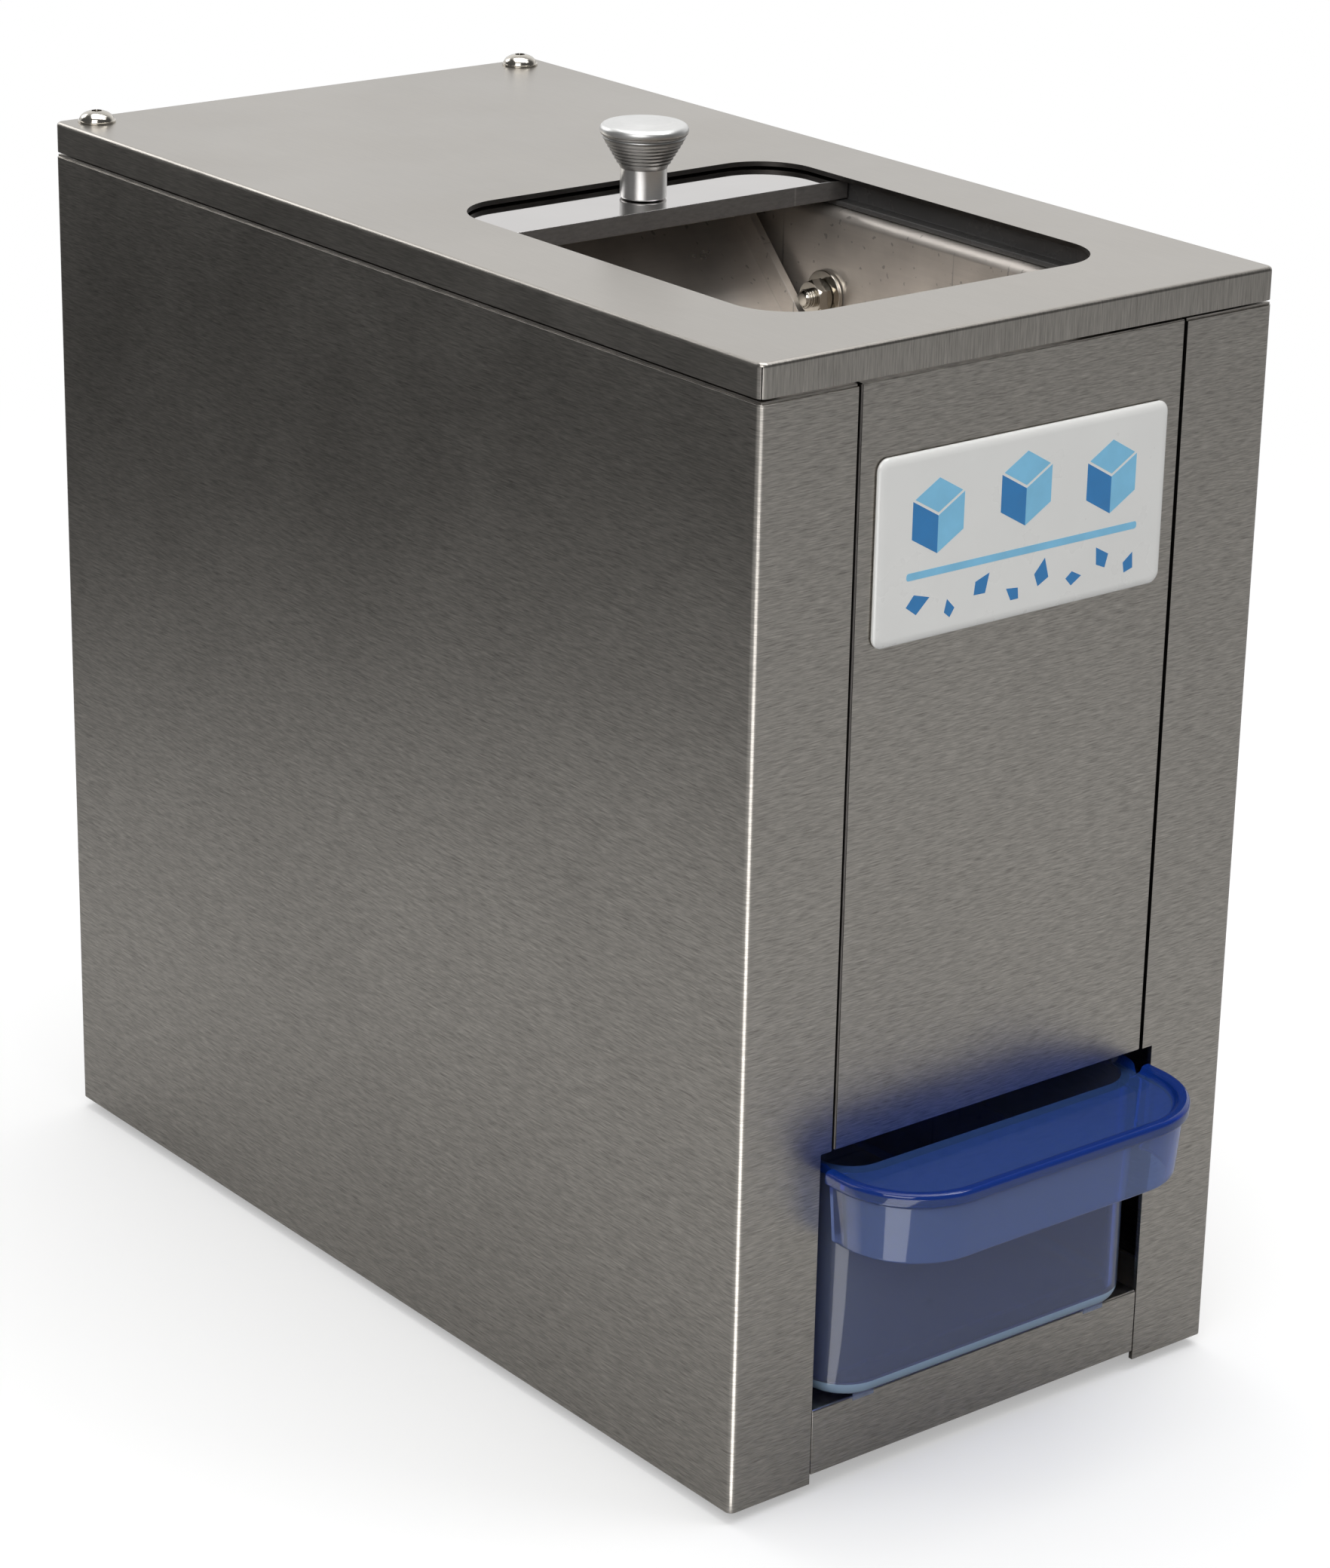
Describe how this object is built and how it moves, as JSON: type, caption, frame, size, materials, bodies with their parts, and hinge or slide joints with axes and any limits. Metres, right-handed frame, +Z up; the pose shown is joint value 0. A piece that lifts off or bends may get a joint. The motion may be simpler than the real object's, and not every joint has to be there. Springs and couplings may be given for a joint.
{
  "type": "countertop electric ice crusher",
  "caption": "Box-shaped stainless steel electric ice crusher with a sliding fill cover in the top and a clear blue ice drawer at the front.",
  "frame": {"origin": "on the ground, under the middle of the overall box of the machine, its drawer lip included", "axes": "+Z up, front with the drawer towards -Y, +X to the right of someone facing the front"},
  "size_m": [0.19, 0.3932, 0.3672],
  "materials": {
    "brushed_panels": "brushed stainless steel sheet, fine straight grain",
    "inner_steel": "plain stainless steel with fine scratches",
    "mirror_cover": "mirror-polished stainless steel",
    "satin_knob": "satin turned aluminium",
    "bright_fixings": "bright nickel-plated steel",
    "bronze_bush": "sintered bronze",
    "cast_alloy": "cast aluminium",
    "motor_paint": "dark grey stoved paint",
    "motor_iron": "laminated electrical steel",
    "black_plastic": "black moulded plastic",
    "grey_plastic": "light grey moulded plastic",
    "black_rubber": "matt black rubber",
    "blue_clear_plastic": "clear deep blue moulded plastic, glossy",
    "badge_white": "glossy white label under clear resin"
  },
  "bodies": {
    "cabinet": {"side_panel_left": "brushed_panels", "slide_rail_left": "black_plastic", "hopper_wall_left": "inner_steel", "hopper_bracket_left": "inner_steel", "hopper_bolt_left": "bright_fixings", "hopper_washer_left": "bright_fixings", "hopper_nut_left": "bright_fixings", "cover_screw_left": "bright_fixings", "foot_front_left": "black_rubber", "foot_rear_left": "black_rubber", "side_panel_right": "brushed_panels", "slide_rail_right": "black_plastic", "hopper_wall_right": "inner_steel", "hopper_bracket_right": "inner_steel", "hopper_bolt_right": "bright_fixings", "hopper_washer_right": "bright_fixings", "hopper_nut_right": "bright_fixings", "cover_screw_right": "bright_fixings", "foot_front_right": "black_rubber", "foot_rear_right": "black_rubber", "front_panel": "brushed_panels", "front_sill": "brushed_panels", "rear_panel": "brushed_panels", "top_cover": "brushed_panels", "base_plate": "inner_steel", "badge": "badge_white", "mains_inlet": "black_plastic", "lid_switch": "black_plastic", "hopper_front_wall": "inner_steel", "hopper_rear_chute": "inner_steel", "ice_throat": "inner_steel", "ice_grate": "inner_steel", "bearing_plate_front": "cast_alloy", "bearing_plate_rear": "cast_alloy", "bearing_bush_front": "bronze_bush", "bearing_bush_rear": "bronze_bush", "gearbox_housing": "cast_alloy", "gearbox_cover": "cast_alloy", "motor_housing": "motor_paint", "motor_end_shield": "motor_paint", "motor_stator": "motor_iron", "motor_saddle": "inner_steel", "bulkhead": "inner_steel", "run_capacitor": "grey_plastic", "drawer_tray": "inner_steel"},
    "sliding_cover": {"slide_cover": "mirror_cover", "slide_knob": "satin_knob", "knob_screw": "bright_fixings"},
    "ice_drawer": {"drawer": "blue_clear_plastic"},
    "crusher_rotor": {"crusher_shaft": "bright_fixings", "breaker_arm_1": "bright_fixings", "breaker_arm_2": "bright_fixings", "breaker_arm_3": "bright_fixings", "breaker_arm_4": "bright_fixings", "output_gear": "inner_steel"},
    "lay_gears": {"lay_gear_cluster": "inner_steel"},
    "motor_spindle": {"motor_rotor": "motor_iron", "motor_pinion": "inner_steel", "motor_fan": "black_plastic"},
    "switch_button": {"switch_plunger": "grey_plastic"}
  },
  "joints": [
    {"name": "cover_slide", "type": "slide", "parent": "cabinet", "child": "sliding_cover", "axis": [0, -1, 0], "range_m": [-0.008, 0.131]},
    {"name": "drawer_slide", "type": "slide", "parent": "cabinet", "child": "ice_drawer", "axis": [0, -1, 0], "range_m": [0, 0.18]},
    {"name": "crusher_spin", "type": "hinge", "parent": "cabinet", "child": "crusher_rotor", "pos_m": [0.002, -0.06415, 0.199], "axis": [0, 1, 0], "continuous": true},
    {"name": "lay_spin", "type": "hinge", "parent": "cabinet", "child": "lay_gears", "pos_m": [0.002, 0.05585, 0.255], "axis": [0, 1, 0], "continuous": true},
    {"name": "motor_spin", "type": "hinge", "parent": "cabinet", "child": "motor_spindle", "pos_m": [0.002, 0.10585, 0.199], "axis": [0, 1, 0], "continuous": true},
    {"name": "switch_press", "type": "slide", "parent": "cabinet", "child": "switch_button", "axis": [0, -1, 0], "range_m": [0, 0.0025], "stiffness_N_per_m": 200, "springref_m": -0.001}
  ],
  "couplings": [
    {"joint": "lay_spin", "follows": "crusher_spin", "ratio": -3},
    {"joint": "motor_spin", "follows": "crusher_spin", "ratio": 11}
  ]
}
